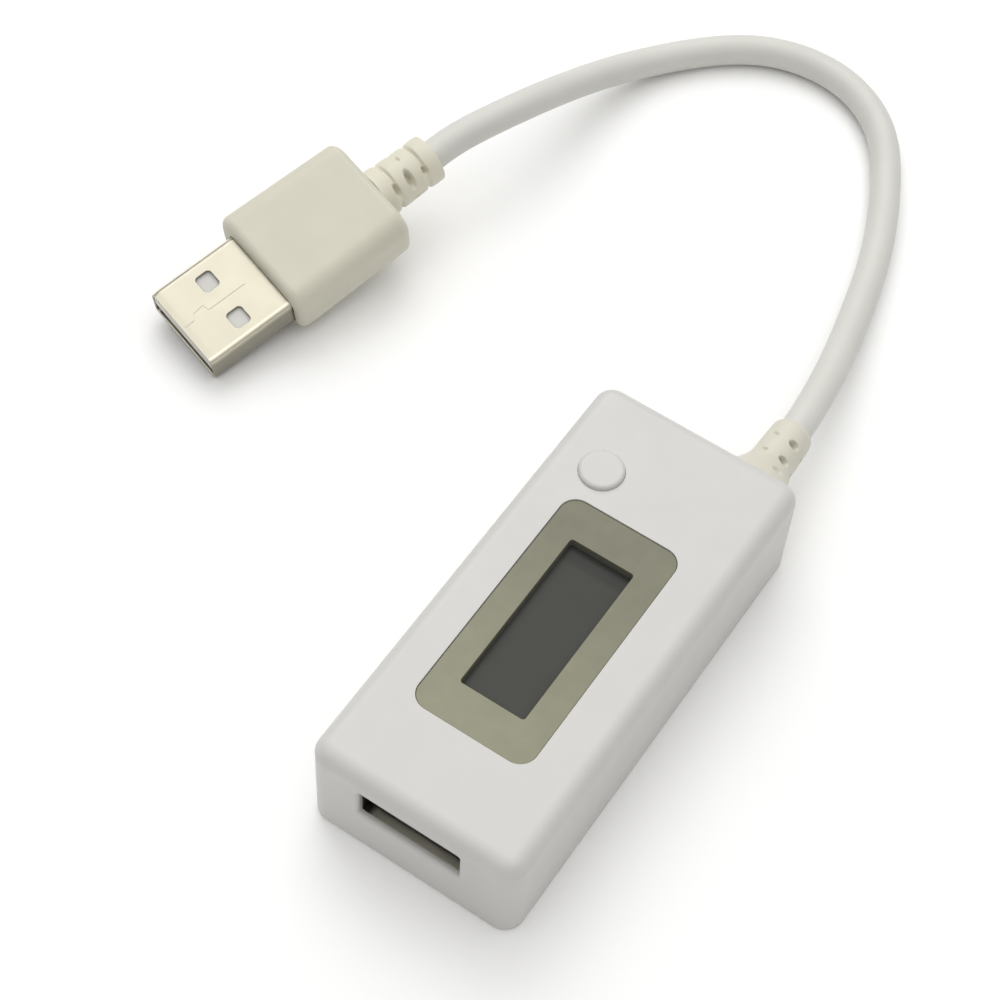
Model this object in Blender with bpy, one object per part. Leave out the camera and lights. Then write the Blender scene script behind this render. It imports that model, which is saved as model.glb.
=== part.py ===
"""USB power meter: a white housing with a display and a button, a USB-A socket
in its front end and a short cord with a USB-A plug at its rear end.

Frame: metres, +Z up. The origin is under the middle of the housing, on the
surface that it lies on. The socket faces -Y, and the cord leaves towards +Y.
"""
import math

import bmesh
import bpy
import numpy as np
from mathutils import Euler, Vector

MM = 0.001
GAP = 0.3 * MM           # clearance between pieces that rest on each other
FILM = 0.1 * MM          # clearance between thin stacked pieces

# Housing
BODY_W = 25.5 * MM
BODY_L = 56.5 * MM
BODY_H = 14.0 * MM
CORNER_R = 2.2 * MM
TOP_R = 1.9 * MM
FOOT_R = 0.5 * MM
WALL = 1.5 * MM
ROOF = 1.8 * MM
CAVITY_R = 0.9 * MM
COVER_T = 1.5 * MM
CATCH_Y = [y * MM for y in (-12.5, 3.0, 18.0)]
CATCH_L = 4.0 * MM
CATCH_Z = 3.0 * MM
TAB_T = 0.9 * MM
TAB_H = 2.6 * MM
BARB_H = 0.7 * MM
ROOF_Z = BODY_H - ROOF
INNER_W = BODY_W - 2 * WALL
INNER_L = BODY_L - 2 * WALL

# Display, set off the housing's middle
VIEW_X = -0.5 * MM
VIEW_Y = -2.45 * MM
BEZEL_W = 14.5 * MM
BEZEL_L = 30.5 * MM
BEZEL_R = 2.0 * MM
BEZEL_T = 0.45 * MM
BEZEL_SINK = 0.15 * MM
WINDOW_W = 7.9 * MM
WINDOW_L = 21.1 * MM
WINDOW_R = 0.35 * MM
GLASS_W = 12.0 * MM
GLASS_L = 23.5 * MM
GLASS_T = 0.65 * MM
GLASS_TOP = BODY_H - BEZEL_SINK - 1.4 * MM
REAR_GLASS_W = 8.4 * MM
REAR_GLASS_L = 21.4 * MM
POLARIZER_T = 0.2 * MM
GLASS_CORNER_R = 0.2 * MM
HOLDER_W = 13.6 * MM
HOLDER_L = 24.2 * MM
HOLDER_WALL = 1.3 * MM
ELASTOMER_W = 1.0 * MM

# Circuit board
BOARD_W = 21.4 * MM
BOARD_FRONT = -26.3 * MM
BOARD_REAR = 21.6 * MM
BOARD_TOP = 5.6 * MM
BOARD_T = 1.6 * MM
PIN_HOLE_R = 0.9 * MM
PIN_R = 0.6 * MM
POST_R = 1.2 * MM
FOOT_POST_R = 1.5 * MM
POST_SPOTS = [(x * MM, y * MM) for x in (-9.5, 9.5) for y in (-20.0, 10.0)]

# Components in millimetres: name, place, size, then leads per side and their pitch
CHIPS = [("controller_chip", (-0.5, -6.0), (5.3, 7.2, 1.6), 10, 0.65),
         ("memory_chip", (-0.5, 3.6), (3.9, 4.9, 1.5), 4, 1.27),
         ("voltage_regulator", (7.2, 15.0), (1.8, 3.0, 1.2), 2, 1.9)]
END_CAPPED = [("shunt_resistor", (1.6, 12.8), (6.4, 3.2, 0.65)),
              ("input_capacitor", (0.6, 16.8), (3.2, 1.6, 1.2)),
              ("output_capacitor", (0.6, 19.6), (3.2, 1.6, 1.2))]

# Push button
BUTTON_X = -6.45 * MM
BUTTON_Y = 17.2 * MM
BUTTON_R = 2.45 * MM
BUTTON_GAP = 0.2 * MM
BUTTON_RISE = 0.5 * MM
BUTTON_FLANGE_R = 3.3 * MM
BUTTON_FLANGE_T = 0.6 * MM
BUTTON_STEM_R = 1.5 * MM
SWITCH_W = 6.0 * MM
SWITCH_BASE_TOP = 8.9 * MM
SWITCH_WELL_R = 2.3 * MM
SWITCH_WELL_LOW = 6.6 * MM
PLUNGER_R = 1.7 * MM
PLUNGER_TOP = 10.0 * MM

# USB-A socket
SOCKET_Z = 8.8 * MM
SOCKET_FRONT = -27.45 * MM
SOCKET_REAR = -15.3 * MM
SOCKET_W = 13.1 * MM
SOCKET_H = 5.75 * MM
SHEET = 0.3 * MM
SLOT_W = 12.3 * MM
SLOT_H = 4.85 * MM
SLOT_R = 0.4 * MM
SOCKET_R = 0.7 * MM
CONTACT_X = [x * MM for x in (-3.5, -1.0, 1.0, 3.5)]
CONTACT_T = 0.25 * MM
CONTACT_LIFT = 0.15 * MM
CONTACT_PIN_Y = -17.9 * MM
CONTACT_PIN_W = 0.6 * MM
CONTACT_PIN_T = 0.3 * MM
CONTACT_HOLE_R = 0.65 * MM
SOCKET_LEG_X = SOCKET_W / 2 - SHEET / 2
SOCKET_LEG_Y = -22.5 * MM
SOCKET_LEG_L = 2.0 * MM
TONGUE_FRONT = -26.6 * MM
TONGUE_LOW = 6.58 * MM
TONGUE_T = 1.84 * MM
TONGUE_W = 11.1 * MM

# Cord and its strain relief on the housing
CORD_D = 3.8 * MM
CORD_STEP = 2 * CORD_D
RELIEF_X = 6.5 * MM
RELIEF_Z = 7.0 * MM
RELIEF_INNER = 24.9 * MM
RELIEF_FLANGE_R = 4.3 * MM
RELIEF_FLANGE_T = 1.5 * MM
NECK_R = 3.0 * MM
LEAD_D = 0.9 * MM

# Radius of the relief at distances behind the housing's rear wall, in millimetres
RELIEF_PROFILE = [(5.0, 0.3), (4.6, 1.0), (4.15, 1.7), (3.75, 2.4), (3.25, 3.3), (2.88, 4.1), (2.65, 5.0),
                  (2.58, 8.0), (2.42, 9.7), (2.25, 10.1), (1.9, 10.35)]

# USB-A plug: its own frame has the origin where the metal shell leaves the grip
PLUG_AT = Vector((-56.69, 22.58, 4.92)) * MM
PLUG_HEADING = math.radians(-17.2)
PLUG_ROLL = math.radians(7.7)
PLUG_PITCH = math.radians(10.0)
PLUG_W = 12.0 * MM
PLUG_H = 4.5 * MM
PLUG_REACH = 11.75 * MM
PLUG_ROOT = 5.0 * MM
PLUG_R = 0.9 * MM
LATCH_W = 2.4 * MM
LATCH_L = 2.15 * MM
LATCH_X = [x * MM for x in (-2.85, 3.15)]
LATCH_Y = -5.72 * MM
PLUG_BLOCK_FRONT = 0.1 * MM
PLUG_CONTACT_FRONT = [y * MM for y in (1.2, 2.2, 2.2, 1.2)]
PLUG_BLOCK_W = 11.0 * MM
PLUG_BLOCK_T = 1.9 * MM
GRIP_W = 15.5 * MM
GRIP_H = 7.8 * MM
GRIP_L = 17.0 * MM
GRIP_R = 2.5 * MM
GRIP_END_R = 1.1 * MM
GRIP_TAPER = 0.7 * MM
GRIP_SHIFT = Vector((-0.4, 0.0, 0.13)) * MM
MOULD_W = 11.4 * MM
MOULD_H = 4.2 * MM
MOULD_R = 0.8 * MM
MOULD_END = 13.6 * MM
PLUG_RELIEF_L = 8.1 * MM
PLUG_RELIEF_R = 3.1 * MM
GROOVE_DEPTH = 0.45 * MM

# The cord's centre line, from the plug's relief to the housing's relief
CORD_ROUTE = [
    (-49.19, 46.76, 9.38), (-48.55, 48.83, 9.78), (-46.1, 55.5, 10.1), (-44.3, 62.3, 8.7),
    (-43.1, 68.9, 6.3), (-41.4, 75.5, 4.0), (-38.5, 81.9, 2.4), (-34.1, 87.5, 1.95),
    (-28.4, 91.8, 2.0), (-21.6, 93.7, 1.95), (-14.6, 92.5, 2.0), (-8.8, 88.4, 2.0),
    (-4.8, 82.4, 1.95), (-1.7, 75.9, 2.0), (0.7, 69.2, 2.1), (2.5, 62.3, 2.7),
    (4.1, 55.4, 3.9), (5.4, 48.5, 5.3), (6.3, 41.5, 6.6), (6.5, 38.95, 7.0)]


# ---------------------------------------------------------------- helpers

def clear_scene():
    for old in list(bpy.data.objects):
        bpy.data.objects.remove(old, do_unlink=True)


def make_material(name, color, roughness, metallic=0.0):
    material = bpy.data.materials.new(name)
    material.use_nodes = True
    shader = material.node_tree.nodes["Principled BSDF"]
    shader.inputs["Base Color"].default_value = (*color, 1.0)
    shader.inputs["Roughness"].default_value = roughness
    shader.inputs["Metallic"].default_value = metallic
    material.diffuse_color = (*color, 1.0)
    return material


def add_object(name, mesh, material=None, parent=None):
    obj = bpy.data.objects.new(name, mesh)
    bpy.context.collection.objects.link(obj)
    if material:
        mesh.materials.append(material)
    obj.parent = parent
    return obj


def place(obj, x=0.0, y=0.0, z=0.0, turn=(0.0, 0.0, 0.0)):
    obj.location = (x, y, z)
    obj.rotation_euler = turn
    return obj


def finish_mesh(name, bm, smooth_angle=math.radians(35)):
    bmesh.ops.remove_doubles(bm, verts=bm.verts, dist=1e-7)
    bmesh.ops.recalc_face_normals(bm, faces=bm.faces)
    mesh = bpy.data.meshes.new(name)
    bm.to_mesh(mesh)
    bm.free()
    mesh.shade_smooth()
    mesh.set_sharp_from_angle(angle=smooth_angle)
    return mesh


def rounded_rectangle(width, length, radius, segments=5):
    """Corner points of a rounded rectangle, anticlockwise."""
    points = []
    for quarter, (sx, sy) in enumerate(((1, 1), (-1, 1), (-1, -1), (1, -1))):
        centre = Vector((sx * (width / 2 - radius), sy * (length / 2 - radius)))
        for step in range(segments + 1):
            angle = math.pi / 2 * (quarter + step / segments)
            points.append(centre + radius * Vector((math.cos(angle), math.sin(angle))))
    return points


def circle(radius, segments=24):
    turns = [2 * math.pi * step / segments for step in range(segments)]
    return [Vector((radius * math.cos(a), radius * math.sin(a))) for a in turns]


def loft_mesh(name, rings):
    """Closed body through rings of the same number of points, capped at both ends."""
    bm = bmesh.new()
    loops = [[bm.verts.new(point) for point in ring] for ring in rings]
    count = len(loops[0])
    for lower, upper in zip(loops, loops[1:]):
        for i in range(count):
            j = (i + 1) % count
            bm.faces.new((lower[i], lower[j], upper[j], upper[i]))
    bm.faces.new(loops[0][::-1])
    bm.faces.new(loops[-1])
    return finish_mesh(name, bm)


def prism_mesh(name, outline, low, high):
    rings = [[Vector((p.x, p.y, z)) for p in outline] for z in (low, high)]
    return loft_mesh(name, rings)


def rounded_block_mesh(name, width, length, radius, levels, segments=5):
    """Upright block with rounded corners; each level is (z, inset from the outline)."""
    rings = []
    for z, inset in levels:
        outline = rounded_rectangle(width - 2 * inset, length - 2 * inset, radius - inset, segments)
        rings.append([Vector((p.x, p.y, z)) for p in outline])
    return loft_mesh(name, rings)


def edge_levels(low, high, low_r, high_r, steps=4):
    """Levels of a block whose lower and upper edges are rounded."""
    angles = [math.pi / 2 * i / steps for i in range(steps + 1)]
    lower = [(low + low_r * (1 - math.sin(a)), low_r * (1 - math.cos(a))) for a in reversed(angles)]
    upper = [(high - high_r * (1 - math.sin(a)), high_r * (1 - math.cos(a))) for a in angles]
    return lower + upper


def box_mesh(name, size):
    corners = ((1, 1), (-1, 1), (-1, -1), (1, -1))
    outline = [Vector((sx * size[0] / 2, sy * size[1] / 2)) for sx, sy in corners]
    return prism_mesh(name, outline, -size[2] / 2, size[2] / 2)


def boxes_mesh(name, boxes):
    """Several separate boxes in one mesh; each is (centre, size)."""
    bm = bmesh.new()
    for centre, size in boxes:
        made = bmesh.ops.create_cube(bm, size=1.0)["verts"]
        bmesh.ops.scale(bm, vec=size, verts=made)
        bmesh.ops.translate(bm, vec=centre, verts=made)
    return finish_mesh(name, bm)


def turned_mesh(name, profile, segments=24):
    """Round body about Z; the profile is (radius, z) from one end face to the other."""
    rings = [[Vector((p.x, p.y, z)) for p in circle(radius, segments)] for radius, z in profile]
    return loft_mesh(name, rings)


def as_tool(obj):
    obj.hide_render = True
    obj.display_type = "WIRE"
    return obj


def combine(target, tool, operation):
    modifier = target.modifiers.new(operation.title(), "BOOLEAN")
    modifier.operation = operation
    modifier.object = as_tool(tool)
    modifier.solver = "EXACT"
    return target


def cut(target, *tools):
    for tool in tools:
        combine(target, tool, "DIFFERENCE")
    return target


def join(target, *tools):
    for tool in tools:
        combine(target, tool, "UNION")
    return target


def smooth_route(points, step):
    """Points at even steps along the natural cubic curve through the given points."""
    knots = np.array(points, dtype=float)
    chord = np.linalg.norm(np.diff(knots, axis=0), axis=1)
    at = np.concatenate([[0.0], np.cumsum(chord)])
    count = len(knots)
    system = np.eye(count)
    right = np.zeros((count, 3))
    for i in range(1, count - 1):
        before, after = chord[i - 1], chord[i]
        system[i, i - 1:i + 2] = before, 2 * (before + after), after
        right[i] = 6 * ((knots[i + 1] - knots[i]) / after - (knots[i] - knots[i - 1]) / before)
    bend = np.linalg.solve(system, right)
    route = []
    for t in np.linspace(0.0, at[-1], round(at[-1] / step) + 1):
        i = min(int(np.searchsorted(at, t, side="right")) - 1, count - 2)
        h, a, b = chord[i], at[i + 1] - t, t - at[i]
        curve = (bend[i] * a ** 3 + bend[i + 1] * b ** 3) / (6 * h)
        line = (knots[i] / h - bend[i] * h / 6) * a + (knots[i + 1] / h - bend[i + 1] * h / 6) * b
        route.append(curve + line)
    return route


def tube(name, points, diameter, material, resolution=2, parent=None):
    curve = bpy.data.curves.new(name, "CURVE")
    curve.dimensions = "3D"
    curve.bevel_depth = diameter / 2
    curve.bevel_resolution = resolution
    curve.use_fill_caps = True
    spline = curve.splines.new("POLY")
    spline.points.add(len(points) - 1)
    for point, place_at in zip(spline.points, points):
        point.co = (*place_at, 1.0)
    curve.materials.append(material)
    obj = bpy.data.objects.new(name, curve)
    bpy.context.collection.objects.link(obj)
    obj.parent = parent
    return obj


# ---------------------------------------------------------------- housing

def body_outline_block(name):
    levels = edge_levels(0.0, BODY_H, FOOT_R, TOP_R)
    return add_object(name, rounded_block_mesh(name, BODY_W, BODY_L, CORNER_R, levels))


def cord_slot(name, half_width, low):
    """Upright slot with a round upper end, through the housing's rear wall."""
    arc = [math.pi * step / 12 for step in range(13)]
    outline = [Vector((half_width * math.cos(a), half_width * math.sin(a))) for a in arc]
    outline += [Vector((-half_width, low - RELIEF_Z)), Vector((half_width, low - RELIEF_Z))]
    mesh = prism_mesh(name, outline, -3 * MM, 3 * MM)
    return place(add_object(name, mesh), RELIEF_X, BODY_L / 2, RELIEF_Z, (math.pi / 2, 0, 0))


def upright_rods(name, spots, radius, low, high, segments=16):
    """Separate upright rods in one mesh."""
    bm = bmesh.new()
    for x, y in spots:
        made = bmesh.ops.create_cone(bm, cap_ends=True, segments=segments, radius1=radius, radius2=radius,
                                     depth=high - low)["verts"]
        bmesh.ops.translate(bm, vec=(x, y, (low + high) / 2), verts=made)
    return add_object(name, finish_mesh(name, bm))


def make_roof_openings():
    """Cutters of the housing's roof: the display's recess and hole, and the button's hole."""
    recess_low = BODY_H - BEZEL_SINK - BEZEL_T - GAP
    recess_outline = rounded_rectangle(BEZEL_W + 2 * GAP, BEZEL_L + 2 * GAP, BEZEL_R + GAP)
    recess = add_object("bezel_recess", prism_mesh("bezel_recess", recess_outline, recess_low, BODY_H + MM))
    glass_outline = rounded_rectangle(GLASS_W + 3 * GAP, GLASS_L + 3 * GAP, 2 * GLASS_CORNER_R)
    glass_hole = add_object("glass_hole", prism_mesh("glass_hole", glass_outline, ROOF_Z - MM, BODY_H))
    button_room = prism_mesh("button_hole", circle(BUTTON_R + BUTTON_GAP, 32), ROOF_Z - MM, BODY_H + MM)
    button_hole = add_object("button_hole", button_room)
    place(recess, VIEW_X, VIEW_Y)
    place(glass_hole, VIEW_X, VIEW_Y)
    place(button_hole, BUTTON_X, BUTTON_Y)
    return recess, glass_hole, button_hole


def make_front_openings():
    """Cutters of the housing's front wall: the plug's slot and the pocket for the socket's rim."""
    slot_outline = rounded_rectangle(SLOT_W, SLOT_H, SLOT_R, 3)
    slot = add_object("socket_slot", prism_mesh("socket_slot", slot_outline, -2 * WALL, 2 * WALL))
    pocket_outline = rounded_rectangle(SOCKET_W + 2 * GAP, SOCKET_H + 2 * GAP, SOCKET_R + GAP, 3)
    pocket = add_object("socket_pocket", prism_mesh("socket_pocket", pocket_outline, 0.0, 2 * WALL))
    place(slot, 0.0, -BODY_L / 2, SOCKET_Z, (math.pi / 2, 0, 0))
    place(pocket, 0.0, SOCKET_FRONT - GAP, SOCKET_Z, (-math.pi / 2, 0, 0))
    return slot, pocket


def make_top_shell(material):
    shell = body_outline_block("top_shell")
    shell.data.materials.append(material)
    cavity_levels = [(-MM, 0.0), (ROOF_Z, 0.0)]
    cavity = add_object("cavity", rounded_block_mesh("cavity", INNER_W, INNER_L, CAVITY_R, cavity_levels))
    pocket_size = (WALL, CATCH_L + 2 * GAP, 2 * BARB_H)
    catch_boxes = [((side * INNER_W / 2, y, CATCH_Z), pocket_size) for side in (-1, 1) for y in CATCH_Y]
    catches = add_object("catch_pockets", boxes_mesh("catch_pockets", catch_boxes))
    posts = upright_rods("top_posts", POST_SPOTS, POST_R, BOARD_TOP + GAP, ROOF_Z + 0.5 * MM)
    cut(shell, cavity, *make_roof_openings(), *make_front_openings(), catches)
    cut(shell, cord_slot("cord_slot", NECK_R + GAP, -MM))
    return join(shell, posts)


def make_cord_tongue():
    """Part of the rear wall below the strain relief's neck; it belongs to the bottom cover."""
    tongue = body_outline_block("tongue")
    keep = add_object("tongue_box", box_mesh("tongue_box", (2 * NECK_R, 2 * WALL, 2 * RELIEF_Z)))
    neck_mesh = prism_mesh("neck_room", circle(NECK_R + GAP, 48), -2 * WALL, 2 * WALL)
    neck_room = add_object("neck_room", neck_mesh)
    above = add_object("above_neck", box_mesh("above_neck", (4 * NECK_R, 4 * WALL, 2 * NECK_R)))
    place(keep, RELIEF_X, BODY_L / 2, 0.0)
    place(neck_room, RELIEF_X, BODY_L / 2, RELIEF_Z, (math.pi / 2, 0, 0))
    place(above, RELIEF_X, BODY_L / 2, RELIEF_Z + NECK_R / 2)
    combine(tongue, keep, "INTERSECT")
    return cut(tongue, neck_room, above)


def make_bottom_cover(material):
    width = INNER_W - 2 * GAP
    length = INNER_L - 2 * GAP
    plate = rounded_block_mesh("bottom_cover", width, length, CAVITY_R - GAP, [(0.0, 0.0), (COVER_T, 0.0)])
    cover = add_object("bottom_cover", plate, material)
    post_top = BOARD_TOP - BOARD_T - GAP
    posts = upright_rods("cover_posts", POST_SPOTS, FOOT_POST_R, COVER_T - 0.5 * MM, post_top)
    pins = upright_rods("cover_pins", POST_SPOTS, PIN_R, COVER_T, BOARD_TOP - GAP, 12)
    tab_x = (width - TAB_T) / 2
    tab_z = COVER_T + TAB_H / 2 - 0.5 * MM
    spots = [(side, y) for side in (-1, 1) for y in CATCH_Y]
    tabs = boxes_mesh("tabs", [((side * tab_x, y, tab_z), (TAB_T, CATCH_L, TAB_H)) for side, y in spots])
    barb_size = (1.0 * MM, CATCH_L - GAP, BARB_H)
    barbs = boxes_mesh("barbs", [((side * width / 2, y, CATCH_Z), barb_size) for side, y in spots])
    sill = add_object("sill", box_mesh("sill", (2 * NECK_R, 2 * WALL, COVER_T)))
    place(sill, RELIEF_X, BODY_L / 2 - 1.3 * WALL, COVER_T / 2)
    return join(cover, posts, pins, add_object("tabs", tabs), add_object("barbs", barbs), sill,
                make_cord_tongue())


def make_display_bezel(material):
    top = BODY_H - BEZEL_SINK
    edge = 0.12 * MM
    levels = [(top - BEZEL_T, 0.0), (top - edge, 0.0), (top, edge)]
    frame = rounded_block_mesh("display_bezel", BEZEL_W, BEZEL_L, BEZEL_R, levels)
    bezel = place(add_object("display_bezel", frame, material), VIEW_X, VIEW_Y)
    outline = rounded_rectangle(WINDOW_W, WINDOW_L, WINDOW_R, 3)
    window = add_object("window", prism_mesh("window", outline, top - MM, top + MM))
    return cut(bezel, place(window, VIEW_X, VIEW_Y))


# ---------------------------------------------------------------- display

def make_plate(name, width, length, top, thickness, material):
    """Flat plate of the display, under the window."""
    levels = [(top - thickness, 0.0), (top, 0.0)]
    mesh = rounded_block_mesh(name, width, length, GLASS_CORNER_R, levels, 2)
    return place(add_object(name, mesh, material), VIEW_X, VIEW_Y)


def make_display(glass, film, white, rubber):
    margin = 1.0 * MM
    front_low = GLASS_TOP - GLASS_T
    rear_top = front_low - FILM
    rear_low = rear_top - GLASS_T
    make_plate("lcd_front_polarizer", GLASS_W - margin, GLASS_L - margin,
               GLASS_TOP + FILM + POLARIZER_T, POLARIZER_T, film)
    make_plate("lcd_front_glass", GLASS_W, GLASS_L, GLASS_TOP, GLASS_T, glass)
    make_plate("lcd_rear_glass", REAR_GLASS_W, REAR_GLASS_L, rear_top, GLASS_T, glass)
    make_plate("lcd_reflector", REAR_GLASS_W - FILM, REAR_GLASS_L - FILM,
               rear_low - FILM, POLARIZER_T, film)

    holder_top = front_low - FILM
    holder_low = BOARD_TOP + FILM
    room_w = HOLDER_W - 2 * HOLDER_WALL
    room_l = HOLDER_L - 2 * HOLDER_WALL
    walls = rounded_block_mesh("lcd_holder", HOLDER_W, HOLDER_L, 3 * GLASS_CORNER_R,
                               [(holder_low, 0.0), (holder_top, 0.0)], 3)
    holder = place(add_object("lcd_holder", walls, white), VIEW_X, VIEW_Y)
    outline = rounded_rectangle(room_w, room_l, GLASS_CORNER_R, 2)
    room = add_object("holder_room", prism_mesh("holder_room", outline, holder_low - MM, holder_top + MM))
    cut(holder, place(room, VIEW_X, VIEW_Y))

    strip_h = holder_top - holder_low
    strip_x = (REAR_GLASS_W + room_w) / 4
    for name, side in (("lcd_elastomer_left", -1), ("lcd_elastomer_right", 1)):
        strip = add_object(name, box_mesh(name, (ELASTOMER_W, room_l - 2 * GAP, strip_h)), rubber)
        place(strip, VIEW_X + side * strip_x, VIEW_Y, holder_low + strip_h / 2)


# ---------------------------------------------------------------- push button

def make_button_part(name, profile, material=None, segments=24):
    """Round piece on the button's axis; the profile is (radius, z)."""
    return place(add_object(name, turned_mesh(name, profile, segments), material), BUTTON_X, BUTTON_Y)


def make_button_cap(white):
    top = BODY_H + BUTTON_RISE
    flange_top = ROOF_Z - GAP
    flange_low = flange_top - BUTTON_FLANGE_T
    profile = [(BUTTON_STEM_R, PLUNGER_TOP + FILM), (BUTTON_STEM_R, flange_low),
               (BUTTON_FLANGE_R, flange_low), (BUTTON_FLANGE_R, flange_top), (BUTTON_R, flange_top)]
    crown = [(0.0, 0.45), (0.12, 0.2), (0.4, 0.06), (0.8, 0.0)]
    profile += [(BUTTON_R - inset * MM, top - drop * MM) for inset, drop in crown]
    return make_button_part("button_cap", profile, white, 32)


def make_switch(black, steel):
    base_low = BOARD_TOP + FILM
    block = rounded_block_mesh("switch_base", SWITCH_W, SWITCH_W, 0.5 * MM,
                               [(base_low, 0.0), (SWITCH_BASE_TOP, 0.0)], 2)
    base = place(add_object("switch_base", block, black), BUTTON_X, BUTTON_Y)
    well_profile = [(SWITCH_WELL_R, SWITCH_WELL_LOW), (SWITCH_WELL_R, SWITCH_BASE_TOP + MM)]
    leg_size = (0.8 * MM, 0.7 * MM, 0.5 * MM)
    leg_boxes = [((sx * (SWITCH_W / 2 + GAP), sy * 2.25 * MM, base_low + 0.45 * MM), leg_size)
                 for sx in (-1, 1) for sy in (-1, 1)]
    legs = place(add_object("switch_legs", boxes_mesh("switch_legs", leg_boxes)), BUTTON_X, BUTTON_Y)
    cut(base, make_button_part("switch_well", well_profile))
    join(base, legs)

    dome = [(0.3, 0.4), (1.2, 0.35), (2.1, 0.1), (2.1, 0.25), (1.2, 0.5), (0.3, 0.55)]
    make_button_part("switch_dome", [(r * MM, SWITCH_WELL_LOW + z * MM) for r, z in dome], steel)

    flange_r = SWITCH_WELL_R - GAP
    flange_top = SWITCH_BASE_TOP - FILM
    flange_low = flange_top - 0.7 * MM
    plunger = [(PLUNGER_R / 2, flange_low - 0.4 * MM), (PLUNGER_R / 2, flange_low), (flange_r, flange_low),
               (flange_r, flange_top), (PLUNGER_R, flange_top), (PLUNGER_R, PLUNGER_TOP - FILM),
               (PLUNGER_R - FILM, PLUNGER_TOP)]
    make_button_part("switch_plunger", plunger, black)

    cover_low = SWITCH_BASE_TOP + FILM
    lid = rounded_block_mesh("switch_cover", SWITCH_W, SWITCH_W, 0.4 * MM,
                             [(cover_low, 0.0), (cover_low + 0.25 * MM, 0.0)], 2)
    cover = place(add_object("switch_cover", lid, steel), BUTTON_X, BUTTON_Y)
    opening_r = PLUNGER_R + 0.15 * MM
    opening = [(opening_r, cover_low - MM), (opening_r, cover_low + MM)]
    cut(cover, make_button_part("cover_opening", opening))


# ---------------------------------------------------------------- circuit board

def make_board(material):
    length = BOARD_REAR - BOARD_FRONT
    middle = (BOARD_REAR + BOARD_FRONT) / 2
    levels = [(BOARD_TOP - BOARD_T, 0.0), (BOARD_TOP, 0.0)]
    sheet = rounded_block_mesh("circuit_board", BOARD_W, length, 0.6 * MM, levels, 2)
    board = place(add_object("circuit_board", sheet, material), 0.0, middle)
    low = BOARD_TOP - BOARD_T - MM
    high = BOARD_TOP + MM
    pin_spots = [(x, CONTACT_PIN_Y) for x in CONTACT_X]
    slot_size = (SHEET + 2 * GAP, SOCKET_LEG_L + 2 * GAP, 2 * BOARD_T)
    slots = [((side * SOCKET_LEG_X, SOCKET_LEG_Y, BOARD_TOP - BOARD_T / 2), slot_size) for side in (-1, 1)]
    return cut(board, upright_rods("board_holes", POST_SPOTS, PIN_HOLE_R, low, high),
               upright_rods("contact_holes", pin_spots, CONTACT_HOLE_R, low, high, 12),
               add_object("leg_slots", boxes_mesh("leg_slots", slots)))


def make_leaded_chip(name, spot, size, leads, pitch, material):
    """Chip body with a row of flat leads along each long side, as one solid."""
    width, length, height = (value * MM for value in size)
    low = BOARD_TOP + 2 * FILM
    levels = [(low, 0.0), (BOARD_TOP + FILM + height, 0.0)]
    chip = add_object(name, rounded_block_mesh(name, width, length, 0.15 * MM, levels, 1), material)
    lead_size = (1.6 * MM, 0.42 * pitch * MM, 0.3 * MM)
    lead_x = width / 2 + 0.25 * MM
    lead_z = low + FILM + lead_size[2] / 2
    boxes = [((side * lead_x, (i - (leads - 1) / 2) * pitch * MM, lead_z), lead_size)
             for side in (-1, 1) for i in range(leads)]
    legs = add_object(name + "_leads", boxes_mesh(name + "_leads", boxes))
    for piece in (chip, legs):
        place(piece, spot[0] * MM, spot[1] * MM)
    return join(chip, legs)


def make_end_capped(name, spot, size, material):
    """Chip resistor or capacitor: a body between two slightly larger end caps."""
    length, width, height = (value * MM for value in size)
    body = add_object(name, box_mesh(name, (length - 4 * FILM, width - FILM, height - FILM)), material)
    cap = (0.18 * length, width, height)
    ends = [((side * (length - cap[0]) / 2, 0.0, 0.0), cap) for side in (-1, 1)]
    caps = add_object(name + "_caps", boxes_mesh(name + "_caps", ends))
    for piece in (body, caps):
        place(piece, spot[0] * MM, spot[1] * MM, BOARD_TOP + FILM + height / 2)
    return join(body, caps)


def make_electronics(board_green, chip_black, ceramic):
    make_board(board_green)
    for name, spot, size, leads, pitch in CHIPS:
        make_leaded_chip(name, spot, size, leads, pitch, chip_black)
    for name, spot, size in END_CAPPED:
        make_end_capped(name, spot, size, ceramic)


# ---------------------------------------------------------------- socket

def make_socket_shell(steel):
    length = SOCKET_REAR - SOCKET_FRONT
    floor_z = SOCKET_Z - SOCKET_H / 2
    outer = rounded_rectangle(SOCKET_W, SOCKET_H, SOCKET_R, 3)
    inner = rounded_rectangle(SOCKET_W - 2 * SHEET, SOCKET_H - 2 * SHEET, SOCKET_R - SHEET, 3)
    shell = add_object("receptacle_shell", prism_mesh("receptacle_shell", outer, 0.0, length), steel)
    bore = add_object("socket_bore", prism_mesh("socket_bore", inner, -MM, length + MM))
    for piece in (shell, bore):
        place(piece, 0.0, SOCKET_REAR, SOCKET_Z, (math.pi / 2, 0, 0))
    gap_size = (10.4 * MM, 8.0 * MM, 2.0 * MM)
    floor_gap = add_object("floor_gap", box_mesh("floor_gap", gap_size))
    place(floor_gap, 0.0, CONTACT_PIN_Y - 0.9 * MM + gap_size[1] / 2, floor_z)
    leg_size = (SHEET, SOCKET_LEG_L, 3.4 * MM)
    leg_z = floor_z + 1.0 * MM - leg_size[2] / 2
    leg_boxes = [((side * SOCKET_LEG_X, SOCKET_LEG_Y, leg_z), leg_size) for side in (-1, 1)]
    legs = boxes_mesh("socket_legs", leg_boxes)
    cut(shell, bore, floor_gap)
    return join(shell, add_object("socket_legs", legs))


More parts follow.
